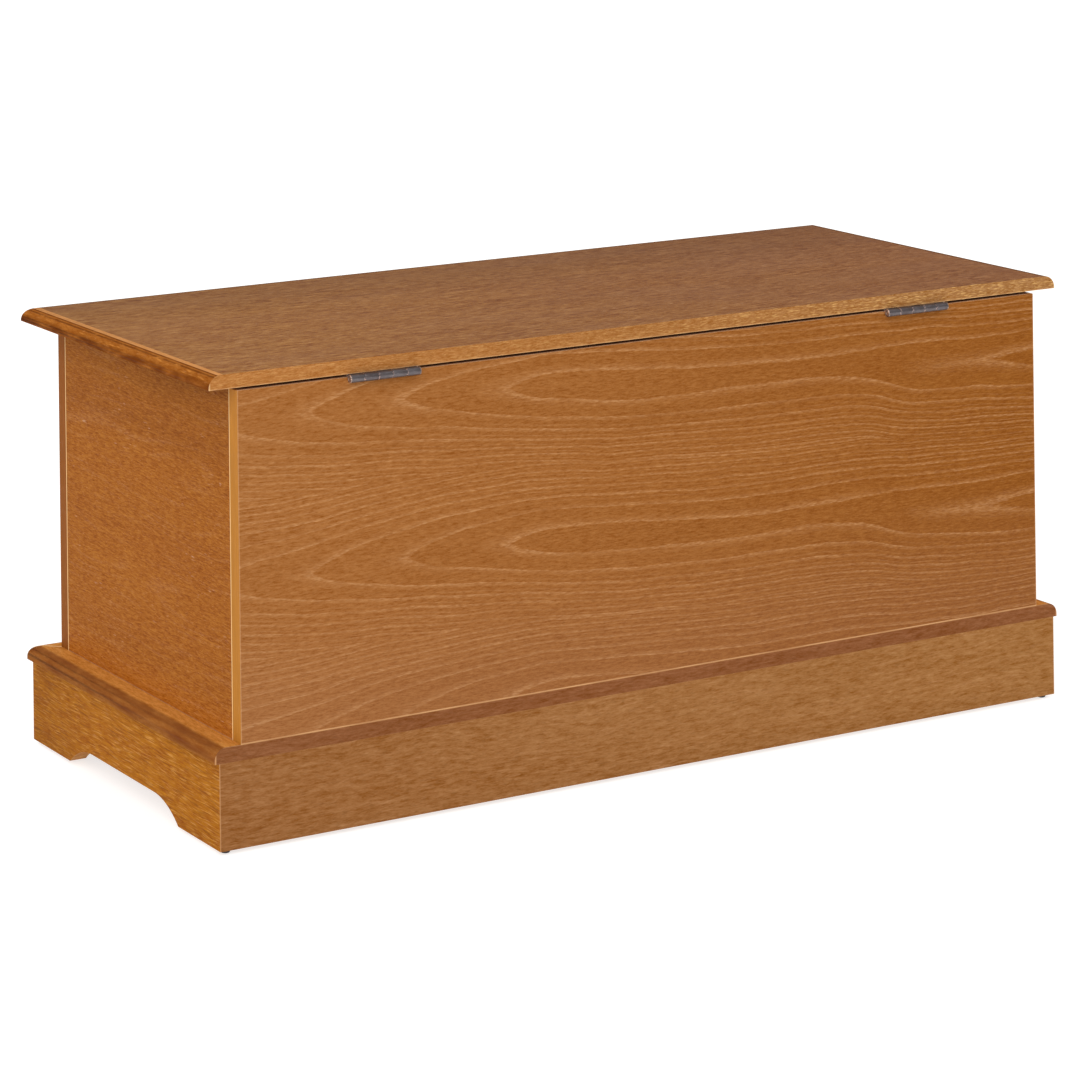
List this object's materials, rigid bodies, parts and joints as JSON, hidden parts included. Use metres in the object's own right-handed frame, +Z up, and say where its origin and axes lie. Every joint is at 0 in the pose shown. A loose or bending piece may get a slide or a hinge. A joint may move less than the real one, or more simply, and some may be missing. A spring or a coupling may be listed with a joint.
{
  "type": "blanket chest",
  "caption": "Low wooden blanket chest with a moulded lift-up lid on butt hinges, sliding lid stays inside, a moulded base and a plinth with arched feet",
  "frame": {"origin": "On the floor, under the middle of the whole chest's box (hinge barrels included)", "axes": "+X is the chest's width, to the right when facing its front; the front faces -Y, the hinged back faces +Y; +Z is up from the floor. Lid shut at rest."},
  "size_m": [1.016, 0.4652, 0.4585],
  "materials": {
    "oak_veneer_top": "satin lacquer, fine short grain",
    "golden_edge_band": "satin lacquer",
    "oak_moulding": "satin lacquer",
    "oak_veneer_case": "satin lacquer, cathedral grain",
    "oak_veneer_side": "satin lacquer",
    "base_moulding": "satin lacquer",
    "red_brown_edge_band": "satin lacquer",
    "plinth_veneer": "satin lacquer, strong straight grain",
    "plain_board": "matt",
    "bare_wood": "unfinished",
    "dark_plastic": "matt",
    "clear_rubber": "satin",
    "hinge_steel": "dull nickel plate",
    "stay_steel": "satin zinc plate",
    "screw_steel": "zinc plate"
  },
  "bodies": {
    "case": {"base_back_rail": "base_moulding", "base_frame_screws": "screw_steel", "base_front_moulding": "base_moulding", "base_left_moulding": "base_moulding", "base_rear_edge_band": "red_brown_edge_band", "base_right_moulding": "base_moulding", "case_back_panel": "oak_veneer_case", "case_bottom_panel": "plain_board", "case_dowels": "bare_wood", "case_front_panel": "oak_veneer_case", "case_left_panel": "oak_veneer_side", "case_right_panel": "oak_veneer_side", "foot_glides": "dark_plastic", "hinge_case_screws": "hinge_steel", "left_hinge_case_leaf": "hinge_steel", "left_hinge_pin": "hinge_steel", "left_stay_stud_plate": "stay_steel", "lid_bumpers": "clear_rubber", "plinth_back_board": "plinth_veneer", "plinth_corner_blocks": "bare_wood", "plinth_front_board": "plinth_veneer", "plinth_left_board": "plinth_veneer", "plinth_right_board": "plinth_veneer", "right_hinge_case_leaf": "hinge_steel", "right_hinge_pin": "hinge_steel", "right_stay_stud_plate": "stay_steel", "stay_case_screws": "stay_steel"},
    "lid": {"hinge_lid_screws": "hinge_steel", "left_hinge_lid_leaf": "hinge_steel", "left_stay_lid_bracket": "stay_steel", "left_stay_rivet": "stay_steel", "lid_front_moulding": "oak_moulding", "lid_left_moulding": "oak_moulding", "lid_panel": "oak_veneer_top", "lid_rear_edge_band": "golden_edge_band", "lid_right_moulding": "oak_moulding", "right_hinge_lid_leaf": "hinge_steel", "right_stay_lid_bracket": "stay_steel", "right_stay_rivet": "stay_steel", "stay_lid_screws": "stay_steel"},
    "left_stay": {"left_stay_arm": "stay_steel"},
    "right_stay": {"right_stay_arm": "stay_steel"}
  },
  "joints": [
    {"name": "lid_hinge", "type": "hinge", "parent": "case", "child": "lid", "pos_m": [0, 0.2286, 0.4405], "axis": [-1, 0, 0], "range_deg": [0, 95]},
    {"name": "right_stay_pivot", "type": "hinge", "parent": "lid", "child": "right_stay", "pos_m": [0.459, 0.07881, 0.4325], "axis": [1, 0, 0], "range_deg": [0, 47.5]},
    {"name": "left_stay_pivot", "type": "hinge", "parent": "lid", "child": "left_stay", "pos_m": [-0.459, 0.07881, 0.4325], "axis": [1, 0, 0], "range_deg": [0, 47.5]}
  ],
  "couplings": [
    {"joint": "right_stay_pivot", "follows": "lid_hinge", "ratio": 0.5},
    {"joint": "left_stay_pivot", "follows": "lid_hinge", "ratio": 0.5}
  ]
}
